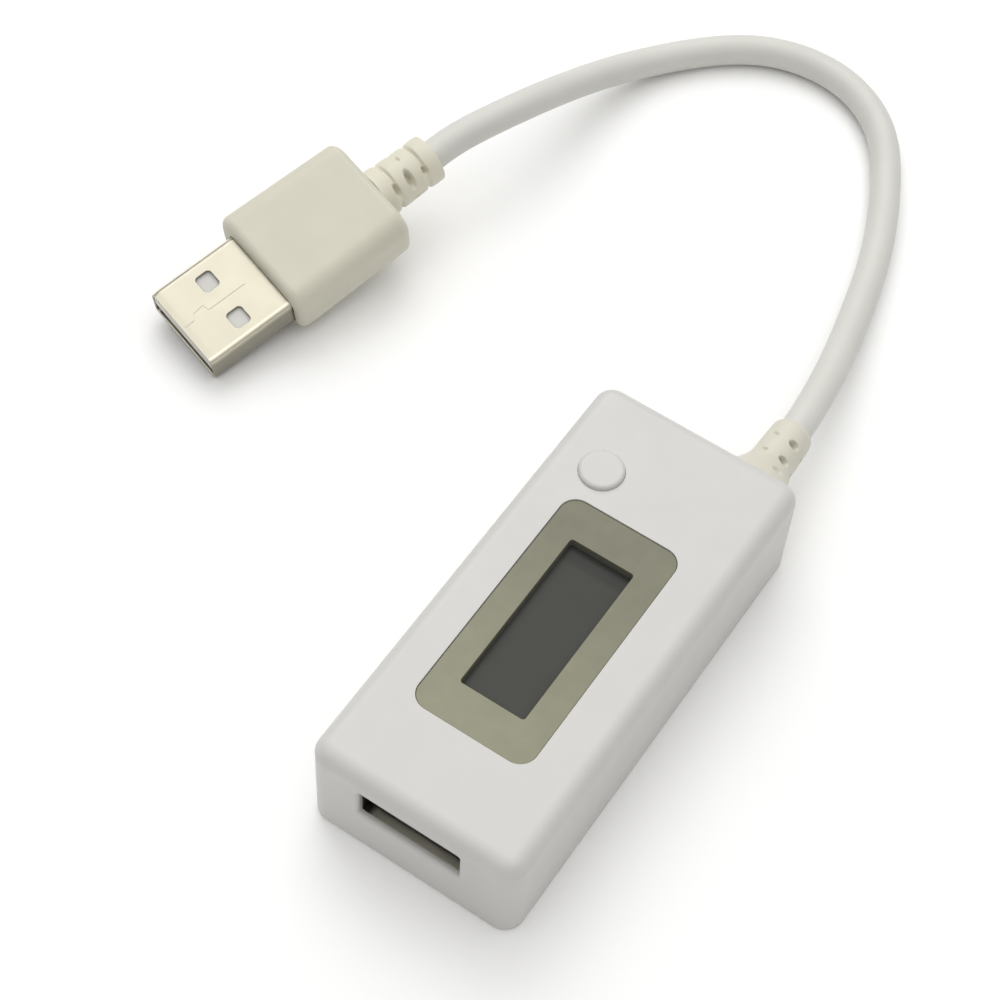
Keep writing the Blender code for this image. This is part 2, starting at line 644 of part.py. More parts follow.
def make_socket_core(black):
    """Block at the socket's closed end, with the tongue that carries the contacts."""
    block_front = CONTACT_PIN_Y + 2 * CONTACT_PIN_W
    block_depth = SOCKET_REAR - GAP - block_front
    block_size = (SOCKET_W - 2 * SHEET - 2 * GAP, block_depth, SOCKET_H - 2 * SHEET - 2 * GAP)
    block = add_object("receptacle_insulator", box_mesh("receptacle_insulator", block_size), black)
    place(block, 0.0, block_front + block_depth / 2, SOCKET_Z)
    tongue_l = block_front + 0.5 * MM - TONGUE_FRONT
    levels = [(0.0, 0.0), (TONGUE_T, 0.0)]
    blade = rounded_block_mesh("tongue_blade", TONGUE_W, tongue_l, 0.25 * MM, levels, 2)
    tongue = place(add_object("tongue_blade", blade), 0.0, TONGUE_FRONT + tongue_l / 2, TONGUE_LOW)
    slot_size = (CONTACT_PIN_W + 2 * GAP, CONTACT_PIN_T + 2 * GAP, 3 * TONGUE_T)
    slots = boxes_mesh("pin_slots", [((x, CONTACT_PIN_Y, TONGUE_LOW), slot_size) for x in CONTACT_X])
    join(block, tongue)
    return cut(block, add_object("pin_slots", slots))


def make_socket_contact(number, x, brass):
    """Flat spring on the tongue's upper face, and its pin down through the board."""
    name = f"receptacle_contact_{number}"
    blade_z = TONGUE_LOW + TONGUE_T + CONTACT_LIFT + CONTACT_T / 2
    blade_front = TONGUE_FRONT + 0.5 * MM
    blade_l = CONTACT_PIN_Y + CONTACT_PIN_T / 2 - blade_front
    blade = add_object(name, box_mesh(name, (2 * CONTACT_PIN_W, blade_l, CONTACT_T)), brass)
    place(blade, x, blade_front + blade_l / 2, blade_z)
    pin_low = BOARD_TOP - BOARD_T - 0.7 * MM
    pin_h = blade_z - pin_low
    pin = add_object(name + "_pin", box_mesh(name + "_pin", (CONTACT_PIN_W, CONTACT_PIN_T, pin_h)))
    return join(blade, place(pin, x, CONTACT_PIN_Y, pin_low + pin_h / 2))


def make_socket(steel, black, brass):
    make_socket_shell(steel)
    make_socket_core(black)
    for number, x in enumerate(CONTACT_X, start=1):
        make_socket_contact(number, x, brass)


# ---------------------------------------------------------------- cord and reliefs

def make_meter_relief(material):
    """Turned relief: inner flange, neck in the wall, flared root, rounded tip."""
    flange_end = RELIEF_INNER + RELIEF_FLANGE_T
    profile = [(RELIEF_FLANGE_R, RELIEF_INNER), (RELIEF_FLANGE_R, flange_end), (NECK_R, flange_end),
               (NECK_R, BODY_L / 2 + GAP)]
    profile += [(radius * MM, BODY_L / 2 + behind * MM) for radius, behind in RELIEF_PROFILE]
    along = [(radius, y - RELIEF_INNER) for radius, y in profile]
    relief = add_object("meter_strain_relief", turned_mesh("meter_strain_relief", along), material)
    return place(relief, RELIEF_X, RELIEF_INNER, RELIEF_Z, (-math.pi / 2, 0, 0))


def make_leads(materials):
    """Insulated leads from the cord's stripped end down to the board."""
    start_y = 24.6 * MM
    pad_y = 19.9 * MM
    pad_z = BOARD_TOP + LEAD_D / 2 + 0.15 * MM
    spots = [("lead_red", -0.8, 0.8, 3.4), ("lead_white", 0.8, 0.8, 9.4),
             ("lead_green", 0.8, -0.8, 7.4), ("lead_black", -0.8, -0.8, 5.4)]
    for (name, dx, dz, pad_x), material in zip(spots, materials):
        start = Vector((RELIEF_X + dx * MM, start_y, RELIEF_Z + dz * MM))
        end = Vector((pad_x * MM, pad_y, pad_z))
        away = start - Vector((0, 0.8 * MM, 0))
        above = end + Vector(((start.x - end.x) * 0.2, 1.1 * MM, 0.15 * MM))
        points = smooth_route([start, away, above, end], 0.7 * MM)
        tube(name, points, LEAD_D, material, 1)


def make_cord(material):
    points = smooth_route([Vector(point) * MM for point in CORD_ROUTE], CORD_STEP)
    return tube("cord", points, CORD_D, material)


# ---------------------------------------------------------------- plug

def make_plug_frame():
    """Empty at the middle of the grip's front face; its +Y runs back along the plug."""
    frame = bpy.data.objects.new("plug_frame", None)
    bpy.context.collection.objects.link(frame)
    frame.location = PLUG_AT
    turn = (Euler((0, 0, PLUG_HEADING)).to_matrix() @ Euler((PLUG_PITCH, 0, 0)).to_matrix()
            @ Euler((0, PLUG_ROLL, 0)).to_matrix())
    frame.rotation_euler = turn.to_euler()
    return frame


def lengthwise(name, outline, start, end, frame, material=None):
    """Prism along the plug's own +Y, whose outline is (x, z)."""
    rings = [[Vector((p.x, y, p.y)) for p in outline] for y in (start, end)]
    return add_object(name, loft_mesh(name, rings), material, frame)


def make_plug_shell(frame, steel):
    outer = rounded_rectangle(PLUG_W, PLUG_H, PLUG_R, 3)
    inner = rounded_rectangle(PLUG_W - 2 * SHEET, PLUG_H - 2 * SHEET, PLUG_R - SHEET, 3)
    shell = lengthwise("plug_shell", outer, -PLUG_REACH, PLUG_ROOT, frame, steel)
    bore = lengthwise("plug_bore", inner, -PLUG_REACH - MM, PLUG_ROOT + MM, frame)
    hole_outline = rounded_rectangle(LATCH_W, LATCH_L, 0.5 * MM, 3)
    cut(shell, bore)
    for name, x in zip(("latch_hole_left", "latch_hole_right"), LATCH_X):
        hole = add_object(name, prism_mesh(name, hole_outline, -PLUG_H, PLUG_H), None, frame)
        cut(shell, place(hole, x, LATCH_Y, 0.0))
    return shell


def make_plug_core(frame, white, brass):
    """Insulator against the seam side of the shell, four contacts on its other face."""
    front = -PLUG_REACH + PLUG_BLOCK_FRONT
    rear = PLUG_ROOT - 0.6 * MM
    block_z = PLUG_H / 2 - SHEET - CONTACT_LIFT - PLUG_BLOCK_T / 2
    block = lengthwise("plug_insulator", rounded_rectangle(PLUG_BLOCK_W, PLUG_BLOCK_T, 0.2 * MM, 1),
                       front, rear, frame, white)
    place(block, 0.0, 0.0, block_z)
    contact_z = block_z - PLUG_BLOCK_T / 2 - CONTACT_LIFT - CONTACT_T / 2
    for number, (x, set_back) in enumerate(zip(CONTACT_X, PLUG_CONTACT_FRONT), start=1):
        name = f"plug_contact_{number}"
        length = rear + PLUG_REACH - set_back
        contact = add_object(name, box_mesh(name, (1.1 * MM, length, CONTACT_T)), brass, frame)
        place(contact, x, rear - length / 2, contact_z)


def make_plug_grip(frame, material, mould):
    """Moulded grip, hollow for the shell's root and the inner mould."""
    rings = []
    for y, inset in edge_levels(0.0, GRIP_L, GRIP_END_R, GRIP_END_R, 3):
        width = GRIP_W + GRIP_TAPER * (0.5 - y / GRIP_L) - 2 * inset
        outline = rounded_rectangle(width, GRIP_H - 2 * inset, GRIP_R - 0.6 * inset)
        rings.append([Vector((p.x, y, p.y)) + GRIP_SHIFT for p in outline])
    grip = add_object("plug_overmold", loft_mesh("plug_overmold", rings), material, frame)
    sleeve_outline = rounded_rectangle(PLUG_W + 2 * GAP, PLUG_H + 2 * GAP, PLUG_R + GAP, 3)
    sleeve = lengthwise("grip_sleeve", sleeve_outline, -MM, PLUG_ROOT + 2 * GAP, frame)
    chamber_outline = rounded_rectangle(MOULD_W + 2 * GAP, MOULD_H + 2 * GAP, MOULD_R + GAP, 2)
    chamber = lengthwise("grip_chamber", chamber_outline, PLUG_ROOT, MOULD_END + GAP, frame)
    mould_outline = rounded_rectangle(MOULD_W, MOULD_H, MOULD_R, 2)
    lengthwise("plug_inner_mould", mould_outline, PLUG_ROOT + GAP, MOULD_END, frame, mould)
    return cut(grip, sleeve, chamber)


def make_plug_relief(frame, material):
    """Sleeve behind the grip, with two ring grooves and a low end flange."""
    inset = GROOVE_DEPTH / MM
    steps = [(-0.1, 0.0), (-0.1, 1.3), (inset, 1.45), (inset, 2.15), (0.0, 2.3), (0.05, 5.45), (inset, 5.6),
             (inset, 6.2), (0.0, 6.35), (0.1, PLUG_RELIEF_L / MM - 0.3), (0.35, PLUG_RELIEF_L / MM)]
    profile = [(PLUG_RELIEF_R - depth * MM, z * MM) for depth, z in steps]
    mesh = turned_mesh("plug_strain_relief", profile)
    relief = add_object("plug_strain_relief", mesh, material, frame)
    return place(relief, 0.0, GRIP_L + GAP, 0.0, (-math.pi / 2, 0, 0))


# ---------------------------------------------------------------- assembly

def main():
    clear_scene()
    white = make_material("white_plastic", (0.69, 0.68, 0.65), 0.42)
    cream = make_material("cream_plastic", (0.64, 0.61, 0.50), 0.5)
    olive = make_material("bezel_plastic", (0.30, 0.29, 0.23), 0.5)
    dark_film = make_material("display_film", (0.075, 0.075, 0.065), 0.3)
    glass = make_material("display_glass", (0.35, 0.40, 0.38), 0.1)
    rubber = make_material("elastomer", (0.75, 0.55, 0.45), 0.7)
    steel = make_material("plated_steel", (0.72, 0.70, 0.66), 0.28, 1.0)
    brass = make_material("gold_plate", (0.83, 0.62, 0.30), 0.3, 1.0)
    black = make_material("black_plastic", (0.02, 0.02, 0.02), 0.5)
    natural = make_material("natural_plastic", (0.80, 0.79, 0.76), 0.45)
    board_green = make_material("board_laminate", (0.02, 0.16, 0.06), 0.4)
    ceramic = make_material("ceramic", (0.45, 0.36, 0.27), 0.5)
    jacket = make_material("cord_jacket", (0.62, 0.62, 0.58), 0.5)
    lead_colors = {"red": (0.6, 0.03, 0.03), "white": (0.8, 0.8, 0.8), "green": (0.03, 0.35, 0.08),
                   "black": (0.02, 0.02, 0.02)}
    lead_materials = [make_material("lead_" + name, rgb, 0.5) for name, rgb in lead_colors.items()]

    make_top_shell(white)
    make_bottom_cover(white)
    make_display_bezel(olive)
    make_display(glass, dark_film, natural, rubber)
    make_button_cap(white)
    make_switch(black, steel)
    make_electronics(board_green, black, ceramic)
    make_socket(steel, black, brass)
    make_meter_relief(cream)
    make_leads(lead_materials)
    make_cord(jacket)
    frame = make_plug_frame()
    make_plug_shell(frame, steel)
    make_plug_core(frame, natural, brass)
    make_plug_grip(frame, cream, natural)
    make_plug_relief(frame, cream)


main()
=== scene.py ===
import math

import bmesh
import bpy
import numpy as np
from mathutils import Euler, Matrix, Vector


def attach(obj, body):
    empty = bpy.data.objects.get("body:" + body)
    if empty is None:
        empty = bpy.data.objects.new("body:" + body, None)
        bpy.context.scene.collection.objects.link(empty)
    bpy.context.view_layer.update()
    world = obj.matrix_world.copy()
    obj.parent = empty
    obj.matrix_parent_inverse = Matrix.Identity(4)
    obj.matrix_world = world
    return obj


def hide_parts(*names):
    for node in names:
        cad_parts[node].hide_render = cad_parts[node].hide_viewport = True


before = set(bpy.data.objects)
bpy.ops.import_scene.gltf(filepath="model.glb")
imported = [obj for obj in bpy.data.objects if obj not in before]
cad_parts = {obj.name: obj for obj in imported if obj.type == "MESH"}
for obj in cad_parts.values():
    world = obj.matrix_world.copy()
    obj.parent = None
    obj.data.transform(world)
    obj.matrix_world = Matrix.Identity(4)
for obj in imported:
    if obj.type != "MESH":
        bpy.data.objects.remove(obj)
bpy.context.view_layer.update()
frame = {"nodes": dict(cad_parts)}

MM = 0.001
GAP = 0.3 * MM
HAIR = 0.002 * MM         # keeps cutters' rings off the faces that they cut

# Painted light and shade that multiply the base colours. They are painted on by position or by which way the
# surface faces.
BEZEL_NEAR_LIGHT = 1.16                         # painted light: display frame lighter at the socket's end
BEZEL_FAR_SHADE = 0.82                          # painted shade: display frame darker at the button's end
SCREEN_SHADOW = 0.75                       # painted shadow of the frame's far edge, at the display's far end
SCREEN_SHADOW_Y = (2.6 * MM, 1.6 * MM)     # where the painted shadow fades in, back from the window's far end
SHELL_SIDE_SHADE = 0.72                         # painted shade: nickel of the plug's shell darker on its sides and underneath
SHELL_SIDE_FACING = (0.25, 0.55)          # upward part of the normal, from the sides to the rounded edges
SHELL_EDGE_HIGHLIGHT = 1.9                         # painted highlight along its rounded edges
SHELL_TOP_FACING = (0.85, 0.98)           # from the rounded edges to the top, which keeps its own colour
SOCKET_MOUTH_LIGHT = 1.1                        # painted light: socket's shell lighter at its mouth
SOCKET_DEEP_SHADE = 0.4                         # painted shade: darker further in
SOCKET_DEPTHS = (0.5 * MM, 5.0 * MM)      # where these two hold, back from its front
SOCKET_SHADE = 0.1                        # at its left end
SOCKET_SHADE_X = (-5.9 * MM, -4.9 * MM)   # from the shade to the plain colour

# Camera, as the photograph was taken
CAMERA_AT = Vector((58.9226, -115.8205, 232.1466)) * MM
CAMERA_AZIMUTH = math.radians(30.335)
CAMERA_ELEVATION = math.radians(56.735)
CAMERA_ROLL = math.radians(4.184)
CAMERA_LENS = 87.547
SENSOR = 36.0

# Light tent
SKY_LOW = 0.27
SKY_TOP = 1.9
SKY_POWER = 3.6
SKY_COLOR = (1.0, 0.995, 0.98, 1.0)
KEY_AT = (-0.85, 1.0, 1.35)
KEY_SIZE = 1.5
KEY_POWER = 14.0

# Housing
BODY_W = 25.5 * MM
BODY_L = 56.5 * MM
BODY_H = 14.0 * MM
CORNER_R = 2.2 * MM
TOP_R = 1.9 * MM
FOOT_R = 0.5 * MM
WALL = 1.5 * MM
ROOF_Z = 12.2 * MM
CAVITY_R = 0.9 * MM
CATCH_Y = [y * MM for y in (-12.5, 3.0, 18.0)]
CATCH_L = 4.0 * MM
CATCH_Z = 3.0 * MM
BARB_H = 0.7 * MM
POST_R = 1.2 * MM
POST_LOW = 5.9 * MM
POST_SINK = 0.5 * MM      # how far the posts run into the roof
POST_SPOTS = [(x * MM, y * MM) for x in (-9.5, 9.5) for y in (-20.0, 10.0)]
RECESS_EDGE = 0.06 * MM   # rounding of the edges of the display's recess
SLOT_EDGE = 0.42 * MM     # rounding of the slot's mouth
SLOT_DROP = 0.7           # how much more the slot's mouth is rounded below than above
FIT = 0.05 * MM           # play round the display's frame

# Display and button
VIEW = Vector((-0.5, -2.45, 0.0)) * MM
FRAME_AT = Vector((-0.43, -2.45, 0.0)) * MM
BEZEL_W = 14.36 * MM
BEZEL_L = 30.5 * MM
BEZEL_R = 2.0 * MM
BEZEL_TOP = 13.85 * MM
BEZEL_T = 0.45 * MM
BEZEL_EDGE = 0.07 * MM
WINDOW_W = 7.9 * MM
WINDOW_L = 21.1 * MM
WINDOW_R = 0.35 * MM
GASKET_W = 0.7 * MM
GASKET_LOW = 12.5 * MM
GLASS_ROOM_W = 12.9 * MM
GLASS_ROOM_L = 24.4 * MM
GLASS_ROOM_R = 0.4 * MM
BUTTON = Vector((-6.45, 17.2, 0.0)) * MM
BUTTON_R = 2.6 * MM
BUTTON_HOLE_R = 2.625 * MM
BUTTON_TOP = 14.5 * MM
BUTTON_CROWN_W = 0.5 * MM
BUTTON_CROWN_H = 0.45 * MM
BUTTON_STEM = [(1.5, 10.1), (1.5, 11.3), (3.3, 11.3), (3.3, 11.9), (2.6, 11.9)]   # radius, height; mm

# Socket
SOCKET_Z = 8.8 * MM
SOCKET_FRONT = -27.45 * MM
SOCKET_W = 13.1 * MM
SOCKET_H = 5.75 * MM
SOCKET_R = 0.7 * MM
SOCKET_FIT = 0.05 * MM    # play between the socket's shell and the front wall
SLOT_W = 12.3 * MM
SLOT_X = -0.2 * MM        # the mouth sits a little left of the socket's middle
SLOT_H = 4.85 * MM
SLOT_R = 0.4 * MM

# Cord and the relief on the housing; steps of a relief are (radius, distance along it), in millimetres
CORD_D = 3.8 * MM
CORD_STEP = 1.0 * MM
CORD_TUCK = 0.9 * MM      # how far the cord runs on inside each relief
RELIEF_X = 6.5 * MM
RELIEF_Z = 7.0 * MM
NECK_R = 3.0 * MM
NECK_STEPS = [(4.3, -3.35), (4.3, -1.85), (3.0, -1.85), (3.0, 0.05)]
RELIEF_STEPS = [(5.0, 0.07), (5.0, 0.35), (4.6, 1.0), (4.15, 1.7), (3.75, 2.4), (3.25, 3.3), (2.88, 4.1),
                (2.65, 5.0), (2.57, 8.0), (2.46, 9.7), (2.32, 10.12), (1.95, 10.33)]
CORD_ROUTE = [            # millimetres
    (-49.19, 46.76, 9.38), (-48.55, 48.83, 9.78), (-46.1, 55.5, 10.1), (-44.3, 62.3, 8.7),
    (-43.1, 68.9, 6.3), (-41.4, 75.5, 4.0), (-38.5, 81.9, 2.4), (-34.1, 87.5, 1.95),
    (-28.4, 91.8, 2.0), (-21.6, 93.7, 1.95), (-14.6, 92.5, 2.0), (-8.8, 88.4, 2.0),
    (-4.8, 82.4, 1.95), (-1.7, 75.9, 2.0), (0.7, 69.2, 2.1), (2.5, 62.3, 2.7),
    (4.1, 55.4, 3.9), (5.4, 48.5, 5.3), (6.3, 41.5, 6.6), (6.5, 38.95, 7.0)]

# Plug: its own +Y runs back along it, from where the metal shell leaves the grip
PLUG_AT = Vector((-56.69, 22.58, 4.92)) * MM
PLUG_HEADING = math.radians(-17.2)
PLUG_ROLL = math.radians(7.7)
PLUG_PITCH = math.radians(10.0)
PLUG_W = 12.0 * MM
PLUG_H = 4.5 * MM
PLUG_R = 0.9 * MM
PLUG_REACH = 11.75 * MM
PLUG_ROOT = 5.0 * MM
SHEET = 0.3 * MM
NOSE_INSET = 0.08 * MM    # how much narrower the shell is at its nose
LATCH_W = 2.4 * MM
LATCH_L = 2.15 * MM
LATCH_R = 0.5 * MM
LATCH_X = [x * MM for x in (-2.85, 3.15)]
LATCH_Y = -5.72 * MM
SEAM = [(0.22, -2.5), (0.22, -7.85), (-0.68, -8.05), (-0.5, -9.45), (0.25, -9.85), (0.35, -12.2)]   # mm
SEAM_HALF = 0.05          # half width, mm
SEAM_DEPTH = 0.05 * MM
SLEEVE_FIT = 0.15 * MM    # play between the shell and the grip
GRIP_W = 15.5 * MM
GRIP_H = 7.8 * MM
GRIP_L = 17.0 * MM
GRIP_R = 2.5 * MM
GRIP_END_R = 1.1 * MM
GRIP_TAPER = 0.7 * MM
GRIP_SHIFT = Vector((-0.4, 0.0, 0.13)) * MM
PLUG_RELIEF_STEPS = [(3.18, -0.25), (3.18, 1.15), (3.06, 1.35), (3.04, 1.6), (3.06, 1.9), (3.12, 2.2),
                     (3.06, 4.0), (3.02, 5.4), (2.95, 5.6), (2.93, 5.8), (2.95, 6.05), (3.06, 6.3),
                     (3.09, 7.0), (3.08, 7.95), (2.95, 8.02)]

# Moulded pits: distance along the relief, first angle, half length, half width, depth; mm and degrees
METER_PITS = [(2.6, 30.0, 0.7, 0.4, 0.28), (4.78, 34.0, 0.66, 0.42, 1.15), (7.35, 33.0, 0.66, 0.42, 1.15),
              (4.78, -26.0, 0.5, 0.32, 0.3), (7.35, -27.0, 0.5, 0.32, 0.25)]
PLUG_PITS = [(1.62, 43.0, 1.0, 0.36, 0.9), (3.68, 40.0, 1.3, 0.44, 1.3), (5.85, 44.0, 0.7, 0.36, 0.9),
             (3.9, -19.0, 0.42, 0.3, 0.3), (1.62, 8.0, 2.9, 0.34, 0.3), (5.8, 8.0, 2.9, 0.34, 0.36)]
PIT_TURN = 120.0          # degrees from one pit to its next copy round the relief
PIT_FLAT = 0.45           # share of a pit's size that is at full depth
PIT_END = 1.25            # share at which it has faded out
RELIEF_POINTS = 144


# ---------------------------------------------------------------- camera and light

def make_camera():
    a, e, roll = CAMERA_AZIMUTH, CAMERA_ELEVATION, CAMERA_ROLL
    back = Vector((math.sin(a) * math.cos(e), -math.cos(a) * math.cos(e), math.sin(e)))
    right = Vector((math.cos(a), math.sin(a), 0.0))
    up = back.cross(right)
    x_axis = math.cos(roll) * right + math.sin(roll) * up
    y_axis = math.cos(roll) * up - math.sin(roll) * right
    data = bpy.data.cameras.new("camera")
    data.lens = CAMERA_LENS
    data.sensor_width = SENSOR
    data.clip_start = 0.01
    data.clip_end = 50.0
    camera = bpy.data.objects.new("camera", data)
    bpy.context.scene.collection.objects.link(camera)
    camera.matrix_world = Matrix((x_axis, y_axis, back)).transposed().to_4x4()
    camera.location = CAMERA_AT
    bpy.context.scene.camera = camera


def make_world():
    """Soft sky of a light tent: dim at the horizon and bright overhead."""
    world = bpy.data.worlds.new("studio")
    world.use_nodes = True
    tree = world.node_tree
    coords = tree.nodes.new("ShaderNodeTexCoord")
    split = tree.nodes.new("ShaderNodeSeparateXYZ")
    height = tree.nodes.new("ShaderNodeMath")
    height.operation = "POWER"
    height.inputs[1].default_value = SKY_POWER
    ramp = tree.nodes.new("ShaderNodeMapRange")
    ramp.inputs["To Min"].default_value = SKY_LOW
    ramp.inputs["To Max"].default_value = SKY_TOP
    tree.links.new(coords.outputs["Generated"], split.inputs["Vector"])
    tree.links.new(split.outputs["Z"], height.inputs[0])
    tree.links.new(height.outputs["Value"], ramp.inputs["Value"])
    tree.links.new(ramp.outputs["Result"], tree.nodes["Background"].inputs["Strength"])
    tree.nodes["Background"].inputs["Color"].default_value = SKY_COLOR
    bpy.context.scene.world = world


def make_softbox(name, at, size, power):
    """Square lamp that faces the origin."""
    data = bpy.data.lights.new(name, "AREA")
    data.shape = "SQUARE"
    data.size = size
    data.energy = power
    lamp = bpy.data.objects.new(name, data)
    bpy.context.scene.collection.objects.link(lamp)
    lamp.location = at
    lamp.rotation_euler = (-Vector(at)).to_track_quat("-Z", "Y").to_euler()


def make_floor():
    bm = bmesh.new()
    bmesh.ops.create_grid(bm, x_segments=1, y_segments=1, size=10.0)
    mesh = bpy.data.meshes.new("floor")
    bm.to_mesh(mesh)
    bm.free()
    floor = bpy.data.objects.new("floor", mesh)
    bpy.context.scene.collection.objects.link(floor)
    paper = matte("floor_paper", (0.96, 0.96, 0.96), 0.9, tone=0.004, blotch=0.05, grain=0.0006)
    mesh.materials.append(paper)


# ---------------------------------------------------------------- materials

def noise(tree, size, detail=2.0, roughness=0.5):
    """Noise in the object's own coordinates, whose features are about this size in metres."""
    coords = tree.nodes.new("ShaderNodeTexCoord")
    texture = tree.nodes.new("ShaderNodeTexNoise")
    texture.inputs["Scale"].default_value = 1.0 / size
    texture.inputs["Detail"].default_value = detail
    texture.inputs["Roughness"].default_value = roughness
    tree.links.new(coords.outputs["Object"], texture.inputs["Vector"])
    return texture.outputs["Fac"]


def two_tones(tree, factor, color, tone):
    """Colour that drifts a little to each side of the given one."""
    ramp = tree.nodes.new("ShaderNodeValToRGB")
    ramp.color_ramp.elements[0].position = 0.3
    ramp.color_ramp.elements[1].position = 0.7
    ramp.color_ramp.elements[0].color = (*[c * (1.0 - tone) for c in color], 1.0)
    ramp.color_ramp.elements[1].color = (*[min(c * (1.0 + tone), 1.0) for c in color], 1.0)
    tree.links.new(factor, ramp.inputs["Fac"])
    return ramp.outputs["Color"]


def spread(tree, factor, low, high):
    ramp = tree.nodes.new("ShaderNodeMapRange")
    ramp.inputs["From Min"].default_value = 0.3
    ramp.inputs["From Max"].default_value = 0.7
    ramp.inputs["To Min"].default_value = low
    ramp.inputs["To Max"].default_value = high
    tree.links.new(factor, ramp.inputs["Value"])
    return ramp.outputs["Result"]


def matte(name, color, roughness, tone=0.02, blotch=0.006, grain=0.0003, relief=0.000006, metallic=0.0):
    """Surface with drifting colour and gloss and a fine grain; relief is the grain's height."""
    material = bpy.data.materials.new(name)
    material.use_nodes = True
    tree = material.node_tree
    shader = tree.nodes["Principled BSDF"]
    shader.inputs["Metallic"].default_value = metallic
    drift = noise(tree, blotch, 3.0)
    tree.links.new(two_tones(tree, drift, color, tone), shader.inputs["Base Color"])
    wear = noise(tree, blotch * 0.4, 4.0, 0.6)
    gloss = spread(tree, wear, roughness * 0.9, min(roughness * 1.1, 1.0))
    tree.links.new(gloss, shader.inputs["Roughness"])
    if relief:
        bump = tree.nodes.new("ShaderNodeBump")
        bump.inputs["Strength"].default_value = 0.6
        bump.inputs["Distance"].default_value = relief
        tree.links.new(noise(tree, grain, 2.0), bump.inputs["Height"])
        tree.links.new(bump.outputs["Normal"], shader.inputs["Normal"])
    return material


def tint(material, factor, start, end, low, high=1.0):
    """Multiplies the colour by low where factor(tree) is at start, and by high where it is at end."""
    tree = material.node_tree
    shader = tree.nodes["Principled BSDF"]
    color = shader.inputs["Base Color"].links[0].from_socket
    ramp = tree.nodes.new("ShaderNodeMapRange")
    ramp.interpolation_type = "SMOOTHSTEP"
    for name, value in (("From Min", start), ("From Max", end), ("To Min", low), ("To Max", high)):
        ramp.inputs[name].default_value = value
    scale = tree.nodes.new("ShaderNodeVectorMath")
    scale.operation = "SCALE"
    tree.links.new(factor(tree), ramp.inputs["Value"])
    tree.links.new(color, scale.inputs[0])
    tree.links.new(ramp.outputs["Result"], scale.inputs["Scale"])
    tree.links.new(scale.outputs["Vector"], shader.inputs["Base Color"])
    return material


def part_of(tree, node_type, output, axis):
    """One coordinate of a vector output."""
    split = tree.nodes.new("ShaderNodeSeparateXYZ")
    tree.links.new(tree.nodes.new(node_type).outputs[output], split.inputs["Vector"])
    return split.outputs[axis]


def object_y(tree):
    return part_of(tree, "ShaderNodeTexCoord", "Object", "Y")


def object_x(tree):
    return part_of(tree, "ShaderNodeTexCoord", "Object", "X")


def normal_z(tree):
    return part_of(tree, "ShaderNodeNewGeometry", "Normal", "Z")


def dull(material, level):
    material.node_tree.nodes["Principled BSDF"].inputs["Specular IOR Level"].default_value = level
    return material


def soften(material, amount, radius):
    """Light that scatters a little way into the plastic."""
    shader = material.node_tree.nodes["Principled BSDF"]
    shader.inputs["Subsurface Weight"].default_value = amount
    shader.inputs["Subsurface Radius"].default_value = (1.0, 0.8, 0.6)
    shader.inputs["Subsurface Scale"].default_value = radius
    return material


def soft_pvc(name, color, tone=0.02):
    return soften(matte(name, color, 0.5, tone=tone), 0.1, 0.6 * MM)


def display_face(name):
    """Dark display under a clear film, with a painted shadow of the frame's far edge at its far end."""
    material = dull(matte(name, (0.056, 0.058, 0.051), 0.34, tone=0.05, blotch=0.008, relief=0.0), 0.13)
    start, end = (VIEW.y + WINDOW_L / 2 - back for back in SCREEN_SHADOW_Y)
    # painted shadow: the display darkens towards the window's far end
    return tint(material, object_y, start, end, 1.0, SCREEN_SHADOW)


# ---------------------------------------------------------------- mesh helpers

def rounded_rectangle(width, length, radius, segments=12):
    """Corner points of a rounded rectangle, anticlockwise."""
    points = []
    for quarter, (sx, sy) in enumerate(((1, 1), (-1, 1), (-1, -1), (1, -1))):
        centre = Vector((sx * (width / 2 - radius), sy * (length / 2 - radius)))
        for step in range(segments + 1):
            angle = math.pi / 2 * (quarter + step / segments)
            points.append(centre + radius * Vector((math.cos(angle), math.sin(angle))))
    return points


def circle(radius, segments=96):
    turns = [2 * math.pi * step / segments for step in range(segments)]
    return [Vector((radius * math.cos(a), radius * math.sin(a))) for a in turns]


def loft(name, rings, ring_closed=False):
    """Body through rings of the same number of points: capped, or its last ring joined to its first."""
    bm = bmesh.new()
    loops = [[bm.verts.new(point) for point in ring] for ring in rings]
    count = len(loops[0])
    pairs = list(zip(loops, loops[1:]))
    if ring_closed:
        pairs.append((loops[-1], loops[0]))
    for lower, upper in pairs:
        for i in range(count):
            j = (i + 1) % count
            bm.faces.new((lower[i], lower[j], upper[j], upper[i]))
    if not ring_closed:
        bm.faces.new(loops[0][::-1])
        bm.faces.new(loops[-1])
    bmesh.ops.remove_doubles(bm, verts=bm.verts, dist=1e-7)
    bmesh.ops.recalc_face_normals(bm, faces=bm.faces)
    mesh = bpy.data.meshes.new(name)
    bm.to_mesh(mesh)
    bm.free()
    return mesh


def add(name, mesh, material=None, turn=None):
    if turn is not None:
        mesh.transform(turn)
    piece = bpy.data.objects.new(name, mesh)
    bpy.context.scene.collection.objects.link(piece)
    if material:
        mesh.materials.append(material)
    return piece


def upright(name, outline, levels, turn=None, material=None):
    """Body whose outline(inset) is drawn at each (height, inset)."""
    rings = [[Vector((p.x, p.y, z)) for p in outline(inset)] for z, inset in levels]
    return add(name, loft(name, rings), material, turn)


def rounded_outline(width, length, radius, segments=12, least=0.02 * MM):
    """Outline function of a rounded rectangle, by inset."""
    def at(inset):
        return rounded_rectangle(width - 2 * inset, length - 2 * inset, max(radius - inset, least), segments)
    return at


def arc_levels(low, high, low_r, high_r, steps=10):
    """Levels of a block whose lower and upper edges are rounded."""
    angles = [math.pi / 2 * i / steps for i in range(steps + 1)]
    lower = [(low + low_r * (1 - math.sin(a)), low_r * (1 - math.cos(a))) for a in reversed(angles)]
    upper = [(high - high_r * (1 - math.sin(a)), high_r * (1 - math.cos(a))) for a in angles]
    return lower + upper


